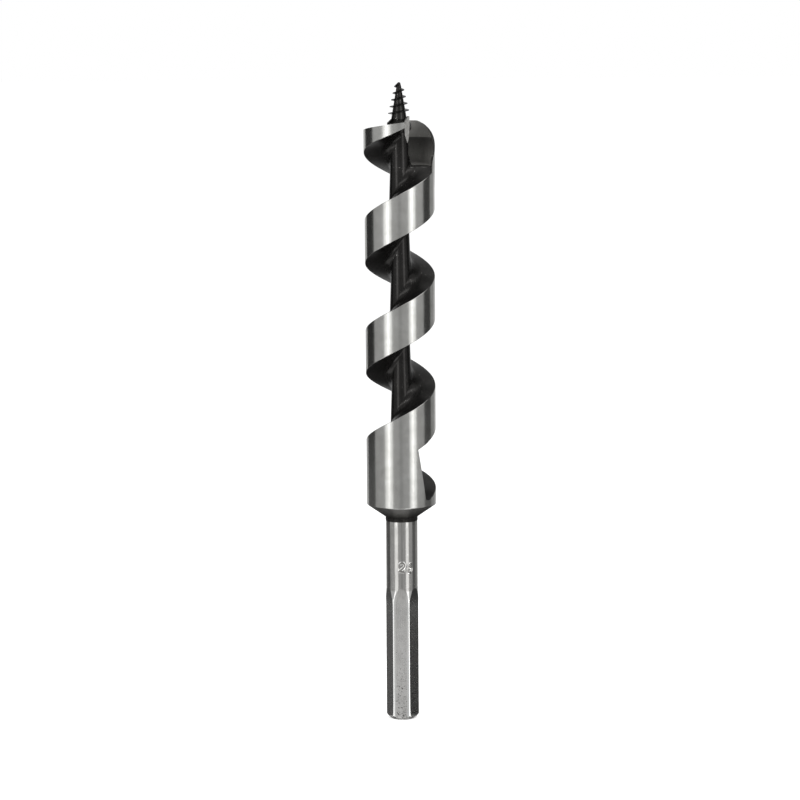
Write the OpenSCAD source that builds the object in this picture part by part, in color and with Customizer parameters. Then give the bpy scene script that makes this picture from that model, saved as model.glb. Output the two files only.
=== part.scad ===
// Wood auger bit with one helical land round a solid core, a threaded point and a hex shank.
// It stands along +Z: the centre of the shank's flat end is the origin and the point is uppermost.
// The photographed side faces -Y. Angles are in degrees, seen from the point, counted from that side
// towards +X, which is also the way in which the land climbs. All lengths are millimetres.

/* [Shank] */
// Height of the shank from its flat end to the joint
shank_len = 74.5; // [50:0.1:110]
// Length of the full hex, from the flat end to where the flats start to run out
hex_len = 42.5; // [25:0.5:46]
// Distance over which the flats run out into the round neck
flat_runout = 7.6; // [4:0.1:12]
// Distance across the flats of the hex
hex_af = 10.6; // [10:0.1:11]
// Diameter over the rounded corners of the hex
hex_corner_d = 12.1; // [11.9:0.1:12.2]
// Diameter of the turned neck
neck_d = 11.7; // [11.5:0.1:11.8]
// Width and height of the crowned chamfer at the flat end
end_chamfer = 1.8; // [0.5:0.1:2.5]
// Angle by which the hex is turned from the photographed side
hex_turn = -4.7; // [-30:0.1:30]

/* [Joint] */
// Width of the seam of filler metal, measured along the bit
seam_w = 1.4; // [1:0.1:4]
// How far the filler bulges past the neck
seam_bulge = 0.15; // [0.05:0.05:0.4]
// Diameter of the tang that enters the shank
tang_d = 6.4; // [5:0.1:7]
// Length of the tang below the seam
tang_len = 18; // [10:0.5:25]
// Thickness of the film of filler round the tang
film_t = 0.15; // [0.1:0.05:0.25]

/* [Twist] */
// Height of the cone between seam and barrel
cone_len = 4.8; // [3:0.1:8]
// Length from the barrel's rim to the cutting lip
twist_len = 140.2; // [135:0.1:150]
// Diameter of barrel and land
twist_d = 25.5; // [24:0.1:26]
// Diameter over the head, which cuts clearance for the rest
head_d = 25.9; // [25.5:0.1:27]
// Climb of the land in one turn
pitch = 40.25; // [38:0.05:42]
// Height of the ground land, measured along the bit
land_h = 15.7; // [13:0.1:18]
// Diameter of the solid core, at the flute's roof
core_d = 6.6; // [6.4:0.1:7.6]
// How much wider the core is at the flute's floor, across its diameter
core_flare = 1.2; // [0:0.1:1.6]
// Diameter of the boss at the nose, which seats the screw's collar
nose_d = 8.8; // [8:0.1:9]
// Fillet between the core and the surface that faces the point
upper_fillet = 4.2; // [2:0.1:5]
// Fillet between the core and the surface that faces the shank
lower_fillet = 3.4; // [2:0.1:5]
// Turns of flute below the lip
flute_turns = 2.949; // [2.9:0.001:3]
// Amount by which the flute is narrower where it starts in the barrel
start_lift = 2.8; // [0:0.1:4]

/* [Head] */
// Angle of the cutting lip
lip_turn = 11; // [0:0.5:30]
// Thickness of the land where it ends in the lip
lip_t = 2.2; // [1.5:0.1:3]
// Fall of the end face behind the lip, over a whole turn
relief_fall = 11.1; // [8:0.1:14]
// Depth of the throat's flat floor below the lip
throat_depth = 16.4; // [14:0.1:18]
// Diameter of the bored throat, whose wall thins towards the heel of the rim
throat_d = 23.8; // [23.4:0.1:24]
// How far the throat's own axis stands off the bit's axis
throat_offset = 1.5; // [1:0.1:1.8]
// Height of the bevel inside the rim wall
bevel_h = 6; // [4:0.1:8]
// Depth of the bevel at the top of the rim wall
bevel_t = 1.5; // [1:0.1:1.6]
// Width of the spur
spur_w = 1.8; // [1.4:0.1:2.4]
// Thickness of the spur, measured radially
spur_t = 1.8; // [1.2:0.1:2.2]
// Height of the spur's corner above the lip
spur_rise = 2.1; // [1:0.1:3]
// Depth of the spur's lower point below the lip
spur_drop = 7.5; // [5:0.1:9]

/* [Lead screw] */
// Length of the screw above the nose
screw_len = 14.6; // [12:0.1:18]
// Diameter of the screw's root above the collar
root_d = 5.7; // [5:0.1:6.2]
// Diameter of the screw's root below the point
root_tip_d = 1.6; // [1:0.1:2]
// Length of the blunt point
point_len = 1.2; // [0.8:0.1:2]
// Height of the flared collar
collar_h = 1.5; // [1:0.1:2]
// Pitch of the thread
thread_pitch = 2.43; // [2:0.01:3]
// Height of the thread above its root at the collar
thread_h = 1.5; // [0.6:0.1:1.6]
// Height of the thread above its root at the point
thread_tip_h = 0.8; // [0.3:0.1:0.8]
// Thickness of the thread at its root
thread_w = 0.75; // [0.5:0.05:1.2]
// Diameter of the plain stem inside the nose
stem_d = 4.2; // [3:0.1:4.6]
// Length of the plain stem
stem_len = 14; // [8:0.5:20]
// Gap between the stem and its bore
stem_clearance = 0.03; // [0.02:0.01:0.1]

/* [Hidden] */
$fn = 96;

// Overrun of every cut past the face that it opens
overrun = 1.2;
// Side from which angles are counted, as an azimuth
front_azimuth = -90;

shank_r = hex_corner_d / 2;
neck_r = neck_d / 2;
tang_r = tang_d / 2;
socket_r = tang_r + film_t;
// The groove for the filler narrows to this width at the tang
groove_w = seam_w / 8;

seam_z = shank_len + seam_w;
barrel_z = seam_z + cone_len;
lip_z = barrel_z + twist_len;
floor_z = lip_z - throat_depth;
twist_r = twist_d / 2;
head_r = head_d / 2;
core_r = core_d / 2;
nose_r = nose_d / 2;
nose_drop = lip_t / 4;
nose_z = lip_z - nose_drop;
top_z = lip_z + spur_rise + overrun;
// The head's larger diameter blends into the twist's below the throat
head_z = floor_z - throat_depth / 2;
head_blend = throat_depth / 2;

// The flute

// Angular step between two sections of the flute
flute_step = 10;
// Steps in each fillet of the flute's section
fillet_steps = 4;
flute_h = pitch - land_h;
flute_start = -360 * flute_turns;
// The first section leans over this angle, because the flute's end wall isn't upright
start_lean = 15.5;
lean_out = 60;
// It leans more towards its foot: the share of the lean is the share of the depth to this power
lean_power = 1.3;
// The lift at the flute's start fades between these two angles
lift_from = 20;
lift_to = 180;
// The foot of the end wall is rounded: the floor starts this much higher, and drops over one step
start_rise = 1.2;
// The land thickens over this angle up to the lip
lip_swell = 110;
// The lip's face stands this far behind the lip's own angle, and leans forward by this angle
lip_face = -2;
lip_lean = 0.5;
// The ramp meets the throat's floor where it has climbed to it
flute_end = 360 * (flute_h - throat_depth) / pitch;

function smooth(t) = let (c = max(0, min(1, t))) c * c * (3 - 2 * c);
function climb(a) = lip_z + pitch * a / 360;
function lift(a) = start_lift * (1 - smooth((a - flute_start - lift_from) / (lift_to - lift_from)));
function swell(a) = (lip_t - pitch * -lip_face / 360) * smooth((a + lip_swell) / lip_swell);
function lean(a) = start_lean * max(0, 1 - (a - flute_start) / lean_out);
function foot_rise(a) = start_rise * max(0, 1 - (a - flute_start) / flute_step);
function at(a, r, z) = let (t = a + lip_turn + front_azimuth) [r * cos(t), r * sin(t), z];

// Height of the flute's floor and roof at an angle from the lip; past the lip it is open above
function flute_floor(a) = climb(a) - flute_h + lift(a);
function flute_roof(a, open) = open ? top_z + upper_fillet : climb(a) - swell(a);

// One section of the flute: the floor's fillet, the core and the roof's fillet, then the open side
function flute_section(a, open) =
    let (
        lo = flute_floor(a + lean(a)) + foot_rise(a),
        hi = flute_roof(a, open),
        foot_r = core_r + core_flare / 2,
        out_r = a > wing_start ? throat_wall(a) - throat_step : head_r + overrun
    )
    [
        for (i = [0 : fillet_steps])
            let (t = 90 * i / fillet_steps)
            [foot_r + upper_fillet * (1 - sin(t)), lo + upper_fillet * (1 - cos(t))],
        for (i = [0 : fillet_steps])
            let (t = 90 - 90 * i / fillet_steps)
            [core_r + lower_fillet * (1 - sin(t)), hi - lower_fillet * (1 - cos(t))],
        [out_r, hi],
        [out_r, lo]
    ];

function placed(section, a) =
    let (lo = section[0][1], hi = section[len(section) - 2][1])
    [for (p = section) at(a + lean(a) * pow((hi - p[1]) / (hi - lo), lean_power), p[0], p[1])];

// Faces of a tube of equal rings, each seen clockwise from outside
function wall_faces(rings, n) = [
    for (i = [0 : rings - 2], j = [0 : n - 1])
        let (k = (j + 1) % n, a = i * n, b = a + n)
        each [[a + j, b + j, a + k], [a + k, b + j, b + k]]
];
function strip_cap(n, base, forward) = let (m = n - 2, h = floor(m / 2)) [
    for (j = [0 : 1 : h - 2]) forward ? [base + n - 1, base + j, base + j + 1]
        : [base + n - 1, base + j + 1, base + j],
    forward ? [base + n - 1, base + h - 1, base + n - 2] : [base + n - 1, base + n - 2, base + h - 1],
    for (j = [h - 1 : 1 : m - 2]) forward ? [base + n - 2, base + j, base + j + 1]
        : [base + n - 2, base + j + 1, base + j]
];

module swept(sections, n) {
    rings = len(sections);
    polyhedron(
        points = [for (s = sections) each s],
        faces = concat(
            wall_faces(rings, n),
            strip_cap(n, 0, true),
            strip_cap(n, (rings - 1) * n, false)
        ),
        convexity = 10
    );
}

module flute_cut() {
    closed_steps = ceil((lip_face - flute_start) / flute_step);
    open_steps = ceil((flute_end - lip_face) / flute_step);
    sections = [
        for (i = [0 : closed_steps])
            let (a = flute_start + (lip_face - flute_start) * i / closed_steps)
            placed(flute_section(a, false), a),
        for (i = [0 : open_steps])
            let (a = lip_face + lip_lean + (flute_end - lip_face - lip_lean) * i / open_steps)
            placed(flute_section(a, true), a)
    ];
    swept(sections, len(sections[0]));
}

// The head's rim

// Angles from the lip at which the rim wall starts, reaches its full height, leaves it and meets the land
wing_start = 53;
wing_full = 139;
wing_leave = 158;
wing_end = 194;
wing_power = 1.3;
rim_step = 5;
// Direction in which the throat's axis stands off, and the ledge that is left under its floor
throat_side = 20;
throat_step = throat_offset / 3;
throat_r = throat_d / 2;

// Radius of the throat's wall from the bit's axis, at an angle from the lip
function throat_wall(a) = let (d = a + lip_turn - throat_side)
    throat_offset * cos(d) + sqrt(pow(throat_r, 2) - pow(throat_offset * sin(d), 2));

function end_face(a) = lip_z + relief_fall * (a - 360) / 360;
function wing_share(a) = let (s = max(0, min(1, (wing_full - a) / (wing_full - wing_start))))
    pow(1 - pow(s, wing_power), 1 / wing_power);
function leave_share(a) = smooth((a - wing_leave) / (wing_end - wing_leave));
function rim_height(a) =
    a < wing_full ? floor_z + (lip_z - floor_z) * wing_share(a)
    : a < wing_end ? lip_z + (end_face(wing_end) - lip_z) * leave_share(a)
    : end_face(a);

module rim_cut() {
    from = wing_start - rim_step;
    to = 360 + lip_face;
    steps = ceil((to - from) / rim_step);
    sections = [
        for (i = [0 : steps])
            let (a = from + (to - from) * i / steps, z = rim_height(a))
            [
                at(a, core_r, z),
                at(a, core_r, top_z),
                at(a, head_r + overrun, top_z),
                at(a, head_r + overrun, z)
            ]
    ];
    swept(sections, 4);
}

// Throat behind the rim wall: bored off centre, with a flat floor, a rounded corner and a bevel at its top
module throat_cut() {
    corner = throat_offset;
    far = 2 * head_r;
    from = wing_start + flute_step;
    middle = (from + wing_end) / 2;
    bevel_rate = bevel_t / bevel_h;
    intersection() {
        translate(at(throat_side - lip_turn, throat_offset, 0))
            rotate_extrude() {
                translate([0, floor_z])
                    square([throat_r - corner, top_z - floor_z]);
                translate([0, floor_z + corner])
                    square([throat_r, top_z - floor_z - corner]);
                translate([throat_r - corner, floor_z + corner])
                    circle(corner);
                polygon([
                    [throat_r - corner, lip_z - bevel_h],
                    [throat_r, lip_z - bevel_h],
                    [throat_r + bevel_rate * (top_z - lip_z + bevel_h), top_z],
                    [throat_r - corner, top_z]
                ]);
            }
        difference() {
            translate([0, 0, floor_z - overrun])
                linear_extrude(top_z - floor_z + 2 * overrun)
                    polygon([
                        [0, 0],
                        for (a = [from, middle, wing_end])
                            let (p = at(a, far, 0))
                            [p[0], p[1]]
                    ]);
            translate([0, 0, floor_z - 2 * overrun])
                cylinder(h = top_z - floor_z + 4 * overrun, r = core_r);
        }
    }
}

// Boss that carries the lead screw
module nose_boss() {
    boss_h = nose_r / 2;
    translate([0, 0, nose_z - boss_h])
        cylinder(h = boss_h, r = nose_r);
    translate([0, 0, nose_z - 2 * boss_h])
        cylinder(h = boss_h, r1 = core_r - overrun / 4, r2 = nose_r);
}

// Outline of the spur, as shares of its half width and of its rise or drop
spur_top_shares = [[0.95, 1], [0.5, 1], [-0.5, 0.4], [-1, 0.1]];
spur_low_shares = [[-1, -0.62], [0.15, -1], [0.55, -0.8], [1, -0.2]];

module spur() {
    half = spur_w / 2;
    outline = [
        for (s = spur_top_shares) [s[0] * half, lip_z + s[1] * spur_rise],
        for (s = spur_low_shares) [s[0] * half, lip_z + s[1] * spur_drop]
    ];
    // The spur's middle stands half its width ahead of the lip's face
    mid = lip_face + atan(half / head_r);
    intersection() {
        rotate([0, 0, lip_turn + mid])
            rotate([90, 0, 0])
                linear_extrude(head_r + overrun)
                    polygon(outline);
        difference() {
            translate([0, 0, lip_z - spur_drop - overrun])
                cylinder(h = spur_drop + spur_rise + 2 * overrun, r = head_r);
            translate([0, 0, lip_z - spur_drop - 2 * overrun])
                cylinder(h = spur_drop + spur_rise + 4 * overrun, r = head_r - spur_t);
        }
    }
}

// Sub-parts

// What the crowned chamfer takes off the end: all outside a sphere through both edges of the chamfer,
// whose centre is as high as the shank's radius
module end_crown() {
    difference() {
        translate([0, 0, -overrun])
            cylinder(h = shank_r + overrun, r = shank_r + overrun);
        translate([0, 0, shank_r])
            sphere(sqrt(pow(shank_r, 2) + pow(shank_r - end_chamfer, 2)));
    }
}

// Hex shank: corners of the drawn bar, flats that run out in an arc, turned neck and socket
module shank() {
    flat_r = hex_af / 2;
    depth = shank_r - flat_r;
    arc_r = (flat_runout * flat_runout + depth * depth) / (2 * depth);
    arc_turn = asin(flat_runout / arc_r);
    arc_steps = 8;
    // The turned taper to the neck starts part way along the run-out
    taper_z = hex_len + flat_runout / 3;
    color("gray")
        difference() {
            rotate_extrude()
                polygon([
                    [0, 0],
                    [shank_r, 0],
                    [shank_r, taper_z],
                    [neck_r, hex_len + flat_runout],
                    [neck_r, shank_len],
                    [socket_r, shank_len + (seam_w - groove_w) / 2],
                    [socket_r, shank_len - tang_len],
                    [0, shank_len - tang_len]
                ]);
            for (i = [0 : 5])
                rotate([0, 0, hex_turn + 60 * i])
                    translate([-shank_r, 0, 0])
                        rotate([90, 0, 90])
                            linear_extrude(2 * shank_r)
                                polygon([
                                    [flat_r, -overrun],
                                    [flat_r, hex_len],
                                    for (j = [1 : arc_steps])
                                        let (t = arc_turn * j / arc_steps)
                                        [flat_r + arc_r * (1 - cos(t)), hex_len + arc_r * sin(t)],
                                    [shank_r + overrun, hex_len + flat_runout],
                                    [shank_r + overrun, -overrun]
                                ]);
            end_crown();
        }
}

// Filler metal: the ring in the groove, with a low bulge, and the film round the tang
module braze_ring() {
    mid_z = shank_len + seam_w / 2;
    color("dimgray")
        rotate_extrude()
            polygon([
                [tang_r, shank_len - tang_len],
                [socket_r, shank_len - tang_len],
                [socket_r, mid_z - groove_w / 2],
                [neck_r, shank_len],
                [neck_r + seam_bulge, shank_len + seam_w / 4],
                [neck_r + seam_bulge, seam_z - seam_w / 4],
                [neck_r, seam_z],
                [tang_r, mid_z + groove_w / 2]
            ]);
}

// The forging: tang, cone, barrel, land, core, lip, spur, throat and rim wall

// What the lathe leaves before the flute is cut
module turned_blank() {
    mid_z = shank_len + seam_w / 2;
    rotate_extrude()
        polygon([
            [0, shank_len - tang_len],
            [tang_r, shank_len - tang_len],
            [tang_r, mid_z + groove_w / 2],
            [neck_r, seam_z],
            [twist_r, barrel_z],
            [twist_r, head_z],
            [head_r, head_z + head_blend],
            [head_r, lip_z],
            [0, lip_z]
        ]);
}

module fluted_blank() {
    difference() {
        turned_blank();
        flute_cut();
    }
}

module rimmed_blank() {
    difference() {
        fluted_blank();
        rim_cut();
    }
}

module headed_blank() {
    difference() {
        rimmed_blank();
        throat_cut();
    }
}

module auger_body() {
    bore_r = stem_d / 2 + stem_clearance;
    color("silver")
        difference() {
            union() {
                headed_blank();
                nose_boss();
                spur();
            }
            translate([0, 0, nose_z - stem_len])
                cylinder(h = stem_len + overrun, r = bore_r);
            translate([0, 0, nose_z])
                cylinder(h = spur_rise + overrun, r = nose_r + stem_clearance);
        }
}

// Threaded point

// Sections of the thread in one turn
thread_sections = 24;
// The thread's lowest turn starts this far above the nose, at this angle
thread_start = collar_h + thread_pitch / 2;
thread_turn = 170;
thread_turns = 4.75;

function root_r(z) = let (s = (z - collar_h) / (screw_len - point_len - collar_h))
    root_d / 2 + (root_tip_d - root_d) / 2 * s;
function crest_h(z) = let (s = (z - collar_h) / (screw_len - point_len - collar_h))
    thread_h + (thread_tip_h - thread_h) * s;

module thread_ridge() {
    steps = ceil(thread_turns * thread_sections);
    sections = [
        for (i = [0 : steps])
            let (
                t = i / thread_sections,
                z = thread_start + thread_pitch * t,
                // The ridge grows out of the root and sinks back into it over a quarter turn
                grow = min(1, 4 * t, 4 * (steps / thread_sections - t)),
                inner = root_r(z) * 0.7,
                crest = root_r(z) + crest_h(z) * (grow - (1 - grow) / 4),
                half = thread_w / 2,
                tip = half / 5,
                turn = thread_turn + 360 * t + front_azimuth
            )
            [
                for (p = [[inner, z - half], [inner, z + half], [crest, z + tip], [crest, z - tip]])
                    [p[0] * cos(turn), p[0] * sin(turn), nose_z + p[1]]
            ]
    ];
    swept(sections, 4);
}

module lead_screw() {
    color("dimgray")
        union() {
            translate([0, 0, nose_z])
                rotate_extrude()
                    polygon([
                        [0, -stem_len + stem_clearance],
                        [stem_d / 2, -stem_len + stem_clearance],
                        [stem_d / 2, 0],
                        [nose_r, 0],
                        [root_d / 2, collar_h],
                        [root_tip_d / 2, screw_len - point_len],
                        [root_tip_d / 3, screw_len - root_tip_d / 6],
                        [root_tip_d / 6, screw_len],
                        [0, screw_len]
                    ]);
            thread_ridge();
        }
}

shank();
braze_ring();
auger_body();
lead_screw();
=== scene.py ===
"""A wood auger bit, standing on its hex shank with the threaded point uppermost.

Sizes are millimetres until a piece is finished; its mesh is then scaled to metres. Angles are degrees.
The photographed side faces -Y. Angles round the bit count from that side towards +X, seen from the
point, which is also the way in which the land climbs.
"""

import math

import bmesh
import bpy
from mathutils import Matrix, Vector, noise


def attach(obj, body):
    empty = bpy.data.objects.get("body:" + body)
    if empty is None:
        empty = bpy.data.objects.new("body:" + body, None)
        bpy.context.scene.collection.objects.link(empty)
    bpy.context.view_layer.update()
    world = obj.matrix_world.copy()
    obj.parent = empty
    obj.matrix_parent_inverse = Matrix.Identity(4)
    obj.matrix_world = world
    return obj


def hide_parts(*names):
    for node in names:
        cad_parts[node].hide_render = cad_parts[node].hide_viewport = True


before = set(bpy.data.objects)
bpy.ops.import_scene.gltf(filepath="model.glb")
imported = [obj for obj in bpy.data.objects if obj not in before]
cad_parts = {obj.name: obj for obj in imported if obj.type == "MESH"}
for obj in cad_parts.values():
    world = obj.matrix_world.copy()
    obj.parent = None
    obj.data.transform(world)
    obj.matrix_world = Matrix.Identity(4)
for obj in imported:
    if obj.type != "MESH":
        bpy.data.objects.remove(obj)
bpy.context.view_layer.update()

MM = 0.001

# The photographed side, as a direction round the axis
FRONT = -90

# Shank and joint
HEX_LEN = 42.5
FLAT_RUNOUT = 7.6
HEX_AF = 10.6
HEX_CORNER_D = 12.1
HEX_TURN = -4.7
NECK_D = 11.7
END_CHAMFER = 1.8
HEX_CORNER_R = 0.9
HEX_BLEND = 0.04
RUNOUT_BLEND = 0.3
RUNOUT_FADE = 2
SHANK_LEN = 74.5
SEAM_W = 1.4
SEAM_BULGE = 0.15
SEAM_EDGE = 0.02
NECK_EDGE = 0.05
TANG_D = 6.4
TANG_LEN = 18
FILM_T = 0.15

# Size mark on the neck
STAMP_H = 3.3
STAMP_Z = 57.6
STAMP_ACROSS = 1.45
STAMP_CROOK = -6
STAMP_STROKE = 0.6
STAMP_ROOT = 0.15
STAMP_DEPTH = 0.25
STAMP_BURR = 0.1
STAMP_RIM = 0.3

# Twist
CONE_LEN = 4.8
CONE_EDGE_R = 0.15
CONE_EDGE_H = 0.1
TWIST_LEN = 140.2
TWIST_D = 25.5
HEAD_D = 25.9
PITCH = 40.25
LAND_H = 15.7
CORE_D = 6.6
CORE_FLARE = 1.2
UPPER_FILLET = 4.2
LOWER_FILLET = 3.4
FLUTE_TURNS = 2.949
START_LIFT = 2.8
START_LEAN = 15.5
START_RISE = 1.2
LEAN_POWER = 1.3

# Degrees of turn over which the flute changes, from its start and, for the swell, before the lip
LEAN_SPAN = 60
LIFT_FROM = 20
LIFT_TO = 180
RISE_SPAN = 10
EDGE_FROM = 20
SWELL_SPAN = 110
FACE_OVERLAP = 0.5

# Head
LIP_TURN = 11
LIP_FACE = -2
LIP_T = 2.2
RELIEF_FALL = 11.1
THROAT_DEPTH = 16.4
THROAT_D = 23.8
THROAT_OFFSET = 1.5
THROAT_SIDE = 20
BEVEL_H = 6
BEVEL_T = 1.5
SPUR_W = 1.8
SPUR_T = 1.8
SPUR_RISE = 2.1
SPUR_DROP = 7.5
SPUR_SPAN = 8.2
WING_START = 53
WING_FULL = 139
WING_LEAVE = 158
WING_END = 194
WING_POWER = 1.3
RIM_LEAD = 5
THROAT_LAG = 10

# Lead screw
NOSE_D = 8.8
SCREW_LEN = 14.6
ROOT_D = 5.7
ROOT_TIP_D = 1.6
POINT_LEN = 1.2
COLLAR_H = 1.5
THREAD_PITCH = 2.43
THREAD_H = 1.5
THREAD_TIP_H = 0.8
THREAD_W = 0.75
THREAD_TURN = 170
THREAD_TURNS = 4.75
THREAD_RUNOUT = 0.25
STEM_D = 4.2
STEM_LEN = 14
STEM_CLEARANCE = 0.03
COLLAR_EDGE = 0.1

# Lumps of the braze bead: how high they and the grit on them are, and how many to a length
BEAD_LUMP = 0.07
BEAD_GRIT = 0.03
LUMPS_ROUND = 2
LUMPS_UP = 0.8
GRIT_FINER = 4

# The head stays this much inside the size of the construction's solids
SKIN = 0.002

# Heights and radii that follow
SEAM_Z = SHANK_LEN + SEAM_W
SEAM_MID_Z = SHANK_LEN + SEAM_W / 2
GROOVE_W = SEAM_W / 8
BARREL_Z = SEAM_Z + CONE_LEN
LIP_Z = BARREL_Z + TWIST_LEN
FLOOR_Z = LIP_Z - THROAT_DEPTH
NOSE_Z = LIP_Z - LIP_T / 4
OVERRUN = 1.2
TOP_Z = LIP_Z + SPUR_RISE + OVERRUN
HEAD_Z = FLOOR_Z - THROAT_DEPTH / 2
HEAD_BLEND = THROAT_DEPTH / 2
TWIST_R = TWIST_D / 2
HEAD_R = HEAD_D / 2 - SKIN
CORE_R = CORE_D / 2
NOSE_R = NOSE_D / 2
NECK_R = NECK_D / 2
TANG_R = TANG_D / 2
SOCKET_R = TANG_R + FILM_T
FLUTE_H = PITCH - LAND_H
FLUTE_START = -360 * FLUTE_TURNS
FLUTE_END = 360 * (FLUTE_H - THROAT_DEPTH) / PITCH
END_FACE_FROM = LIP_Z - RELIEF_FALL / 2 - 1

# How finely the pieces are made
EDGE_BREAK = 0.12
BODY_SIDES = 480
SHANK_SIDES = 360
SCREW_SIDES = 128
FLUTE_STEP = 2.5
RIM_STEP = 1.5
FILLET_STEPS = 12
SCREW_RINGS = 260
CROWN_RINGS = 16
SHANK_RINGS = 10
BEAD_RINGS = 14
RING_GAP = 0.5
RUNOUT_GAP = 0.2
APART = 0.01
WELD = 1e-5

# How near a face lies to a surface to count with it, and how squarely it faces outwards or up
NEAR = 0.1
UPRIGHT = 0.5
LEVEL = 0.9

scene = bpy.context.scene


def smooth(t):
    t = max(0, min(1, t))
    return t * t * (3 - 2 * t)


def steps(start, end, count):
    """count + 1 values from start to end"""
    return [start + (end - start) * i / count for i in range(count + 1)]


def at(angle, radius, height):
    """A point at an angle from the lip"""
    turn = math.radians(angle + LIP_TURN + FRONT)
    return radius * math.cos(turn), radius * math.sin(turn), height


# Meshes


def solid(name, points, faces):
    """A closed mesh with its faces outwards, still in millimetres"""
    mesh = bpy.data.meshes.new(name)
    mesh.from_pydata(points, [], faces)
    build = bmesh.new()
    build.from_mesh(mesh)
    bmesh.ops.remove_doubles(build, verts=build.verts, dist=WELD)
    bmesh.ops.triangulate(build, faces=[f for f in build.faces if len(f.verts) > 4])
    bmesh.ops.recalc_face_normals(build, faces=build.faces)
    build.to_mesh(mesh)
    build.free()
    obj = bpy.data.objects.new(name, mesh)
    scene.collection.objects.link(obj)
    return obj


def ring_solid(name, rings):
    """A solid through rings of equally many points, with its two ends closed"""
    n = len(rings[0])
    points = [p for ring in rings for p in ring]
    faces = [
        (i * n + j, (i + 1) * n + j, (i + 1) * n + (j + 1) % n, i * n + (j + 1) % n)
        for i in range(len(rings) - 1)
        for j in range(n)
    ]
    faces.append(tuple(range(n)))
    faces.append(tuple(range(len(points) - n, len(points))))
    return solid(name, points, faces)


def turned(name, outline, sides, radius_at=None):
    """A turned solid from an outline of (radius, height); radius_at changes a radius by its turn"""
    rings = []
    for radius, height in outline:
        ring = []
        for turn in steps(0, 360, sides)[:-1]:
            r = radius_at(radius, turn, height) if radius_at else radius
            angle = math.radians(turn + FRONT)
            ring.append((r * math.cos(angle), r * math.sin(angle), height))
        rings.append(ring)
    return ring_solid(name, rings)


def combine(obj, tool, operation):
    """Cuts the tool from the object or joins it on, and deletes the tool"""
    modifier = obj.modifiers.new(operation, "BOOLEAN")
    modifier.operation = operation
    modifier.solver = "MANIFOLD"
    modifier.object = tool
    plain(obj)
    bpy.data.objects.remove(tool)


def plain(obj):
    """Turns the modifiers' result into the object's own mesh"""
    evaluated = obj.evaluated_get(bpy.context.evaluated_depsgraph_get())
    mesh = bpy.data.meshes.new_from_object(evaluated)
    obj.modifiers.clear()
    obj.data = mesh


def finished(obj, node, sharp):
    """Scales a piece to metres, shades it smooth up to its sharp angle, and lets it stand for its CAD
    node"""
    obj.data.transform(Matrix.Scale(MM, 4))
    obj.data.shade_smooth()
    obj.data.set_sharp_from_angle(angle=math.radians(sharp))
    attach(obj, "root")
    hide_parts(node)


# Node trees

MATH = "ShaderNodeMath"
VECTOR_MATH = "ShaderNodeVectorMath"
MAP_RANGE = "ShaderNodeMapRange"


def put(tree, kind, inputs=(), **settings):
    """Adds a node with its settings and links, and returns its first output in use.

    The inputs are a list in the order of the node's sockets, or a dict by their names. A Map Range takes
    a value, the two ends that it comes from and the two that it goes to, which are 0 and 1 if left out.
    """
    made = tree.nodes.new(kind)
    for name, value in settings.items():
        setattr(made, name, value)
    by_socket = inputs if isinstance(inputs, dict) else dict(enumerate(inputs))
    for key, value in by_socket.items():
        if isinstance(value, bpy.types.NodeSocket):
            tree.links.new(value, made.inputs[key])
        else:
            made.inputs[key].default_value = value
    in_use = [output for output in made.outputs if output.enabled]
    return in_use[0] if in_use else made


def geometry_tree(name, sizes):
    """A Geometry Nodes tree with a geometry, named sizes and a material going in"""
    tree = bpy.data.node_groups.new(name, "GeometryNodeTree")
    face = tree.interface
    face.new_socket("Geometry", in_out="INPUT", socket_type="NodeSocketGeometry")
    for size in sizes:
        face.new_socket(size, in_out="INPUT", socket_type="NodeSocketFloat")
    face.new_socket("Material", in_out="INPUT", socket_type="NodeSocketMaterial")
    face.new_socket("Geometry", in_out="OUTPUT", socket_type="NodeSocketGeometry")
    given = tree.nodes.new("NodeGroupInput")
    return tree, given.outputs


def end_tree(tree, geometry, material):
    """Ends a tree in Realize Instances and Set Material"""
    real = put(tree, "GeometryNodeRealizeInstances", {"Geometry": geometry})
    dressed = put(tree, "GeometryNodeSetMaterial", {"Geometry": real, "Material": material})
    put(tree, "NodeGroupOutput", {"Geometry": dressed})


def run_tree(obj, tree, values):
    """Runs a tree on an object with its inputs set by identifier, and keeps the plain mesh"""
    modifier = obj.modifiers.new(tree.name, "NODES")
    modifier.node_group = tree
    for item in tree.interface.items_tree:
        if item.in_out == "INPUT" and item.name in values:
            modifier[item.identifier] = values[item.name]
    plain(obj)


def height_on_helix(tree, size, turn):
    """Height of the land's upper edge at a turn from the lip"""
    climb_rate = put(tree, MATH, [size["Pitch"], 360], operation="DIVIDE")
    return put(tree, MATH, [turn, climb_rate, size["Lip Height"]], operation="MULTIPLY_ADD")


def flute_floor(tree, size, turn, since, lean):
    """Height of the flute's floor, which lifts towards the start; its foot leans with the end wall"""
    foot_turn = put(tree, MATH, [turn, lean], operation="ADD")
    foot_since = put(tree, MATH, [since, lean], operation="ADD")
    lift_ends = [foot_since, LIFT_FROM, LIFT_TO, size["Start Lift"], 0]
    lift = put(tree, MAP_RANGE, lift_ends, interpolation_type="SMOOTHSTEP")
    rise = put(tree, MAP_RANGE, [since, 0, RISE_SPAN, size["Start Rise"], 0])
    floor = height_on_helix(tree, size, foot_turn)
    floor = put(tree, MATH, [floor, size["Flute Height"]], operation="SUBTRACT")
    floor = put(tree, MATH, [floor, lift], operation="ADD")
    return put(tree, MATH, [floor, rise], operation="ADD")


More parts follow.
